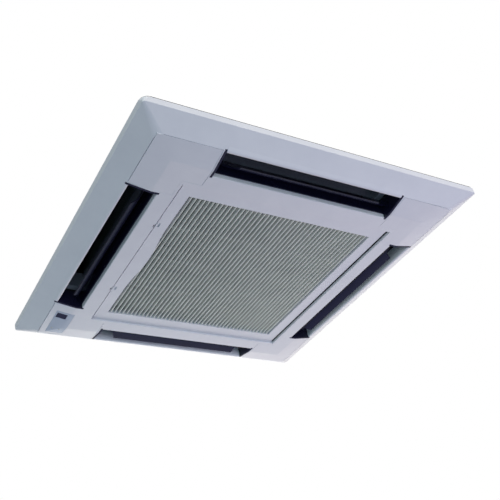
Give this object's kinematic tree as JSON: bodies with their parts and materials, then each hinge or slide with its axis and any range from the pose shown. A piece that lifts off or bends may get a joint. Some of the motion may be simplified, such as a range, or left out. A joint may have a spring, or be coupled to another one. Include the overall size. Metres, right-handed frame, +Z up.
{
  "type": "ceiling cassette air conditioner",
  "caption": "Square ceiling cassette air conditioner: flat panel with a slatted intake grille and louvred outlets round it, and the body above the ceiling.",
  "frame": {"origin": "centre of the panel, on the plane of the ceiling that its rim rests against", "axes": "+Z up, out of the room; X and Y along the sides of the square panel; the grille hinges on its +X edge and the receiver is in the -X +Y corner"},
  "size_m": [0.95, 0.95, 0.3075],
  "materials": {
    "white_abs": "satin moulded white plastic, lightly grained",
    "receiver_grey": "satin light grey plastic",
    "dark_plastic": "glossy near-black plastic",
    "smoked_window": "smoked infrared window",
    "motor_white": "moulded cream plastic",
    "black_foam": "closed-cell foam",
    "white_foam": "expanded polystyrene",
    "filter_grey": "grey plastic frame and net",
    "grey_abs": "moulded grey plastic",
    "zinc_sheet": "galvanised sheet steel",
    "fins": "aluminium fins",
    "copper": "copper tube",
    "brass": "machined brass",
    "steel": "zinc-plated steel",
    "board_green": "printed circuit board",
    "motor_black": "black painted motor case"
  },
  "bodies": {
    "unit": {"panel_frame": "white_abs", "corner_cover_1": "white_abs", "corner_cover_2": "white_abs", "corner_cover_3": "white_abs", "corner_cover_4": "white_abs", "receiver_housing": "receiver_grey", "outlet_liner_1": "dark_plastic", "outlet_liner_2": "dark_plastic", "outlet_liner_3": "dark_plastic", "outlet_liner_4": "dark_plastic", "receiver_window": "smoked_window", "louvre_motor_1": "motor_white", "louvre_motor_2": "motor_white", "louvre_motor_3": "motor_white", "louvre_motor_4": "motor_white", "ceiling_gasket": "black_foam", "air_seal": "black_foam", "insulation_liner": "black_foam", "drain_pan": "white_foam", "bell_mouth": "grey_abs", "drain_pump": "grey_abs", "casing_shell": "zinc_sheet", "top_plate": "zinc_sheet", "tube_sheet_1": "zinc_sheet", "tube_sheet_2": "zinc_sheet", "control_box": "zinc_sheet", "control_box_cover": "zinc_sheet", "suspension_bracket_1": "zinc_sheet", "suspension_bracket_2": "zinc_sheet", "suspension_bracket_3": "zinc_sheet", "suspension_bracket_4": "zinc_sheet", "heat_exchanger": "fins", "gas_pipe": "copper", "liquid_pipe": "copper", "gas_flare_nut": "brass", "liquid_flare_nut": "brass", "panel_bolt_1": "steel", "panel_bolt_2": "steel", "panel_bolt_3": "steel", "panel_bolt_4": "steel", "receiver_board": "board_green", "control_board": "board_green", "fan_motor": "motor_black"},
    "vane_1": {"louvre_vane_1": "dark_plastic"},
    "vane_2": {"louvre_vane_2": "dark_plastic"},
    "vane_3": {"louvre_vane_3": "dark_plastic"},
    "vane_4": {"louvre_vane_4": "dark_plastic"},
    "grille": {"intake_grille": "white_abs", "hinge_pin_1": "steel", "hinge_pin_2": "steel"},
    "latch_1": {"grille_latch_1": "white_abs"},
    "latch_2": {"grille_latch_2": "white_abs"},
    "filter": {"filter_frame": "filter_grey", "filter_net": "filter_grey"},
    "fan": {"turbo_fan": "grey_abs", "motor_shaft": "steel", "hub_nut": "brass"},
    "button_1": {"manual_button_1": "grey_abs"},
    "button_2": {"manual_button_2": "grey_abs"},
    "float": {"water_float": "white_foam"}
  },
  "joints": [
    {"name": "vane_1_swing", "type": "hinge", "parent": "unit", "child": "vane_1", "pos_m": [0, -0.362, -0.016], "axis": [-1, 0, 0], "range_deg": [-20, 53]},
    {"name": "vane_2_swing", "type": "hinge", "parent": "unit", "child": "vane_2", "pos_m": [0.362, 0, -0.016], "axis": [0, -1, 0], "range_deg": [-20, 53]},
    {"name": "vane_3_swing", "type": "hinge", "parent": "unit", "child": "vane_3", "pos_m": [0, 0.362, -0.016], "axis": [1, 0, 0], "range_deg": [-20, 53]},
    {"name": "vane_4_swing", "type": "hinge", "parent": "unit", "child": "vane_4", "pos_m": [-0.362, 0, -0.016], "axis": [0, 1, 0], "range_deg": [-20, 53]},
    {"name": "grille_hinge", "type": "hinge", "parent": "unit", "child": "grille", "pos_m": [0.289, 0, -0.042], "axis": [0, -1, 0], "range_deg": [0, 90]},
    {"name": "latch_1_slide", "type": "slide", "parent": "grille", "child": "latch_1", "axis": [1, 0, 0], "range_m": [0, 0.004]},
    {"name": "latch_2_slide", "type": "slide", "parent": "grille", "child": "latch_2", "axis": [1, 0, 0], "range_m": [0, 0.004]},
    {"name": "filter_lift", "type": "slide", "parent": "grille", "child": "filter", "axis": [0, 0, 1], "range_m": [0, 0.012]},
    {"name": "fan_spin", "type": "hinge", "parent": "unit", "child": "fan", "pos_m": [0, 0, 0.128], "axis": [0, 0, 1], "continuous": true},
    {"name": "button_1_press", "type": "slide", "parent": "unit", "child": "button_1", "axis": [0, 0, 1], "range_m": [0, 0.0012], "stiffness_N_per_m": 400, "springref_m": -0.0005},
    {"name": "button_2_press", "type": "slide", "parent": "unit", "child": "button_2", "axis": [0, 0, 1], "range_m": [0, 0.0012], "stiffness_N_per_m": 400, "springref_m": -0.0005},
    {"name": "float_lift", "type": "slide", "parent": "unit", "child": "float", "axis": [0, 0, 1], "range_m": [0, 0.015]}
  ],
  "couplings": [
    {"joint": "vane_2_swing", "follows": "vane_1_swing", "ratio": 1},
    {"joint": "vane_3_swing", "follows": "vane_1_swing", "ratio": 1},
    {"joint": "vane_4_swing", "follows": "vane_1_swing", "ratio": 1}
  ]
}
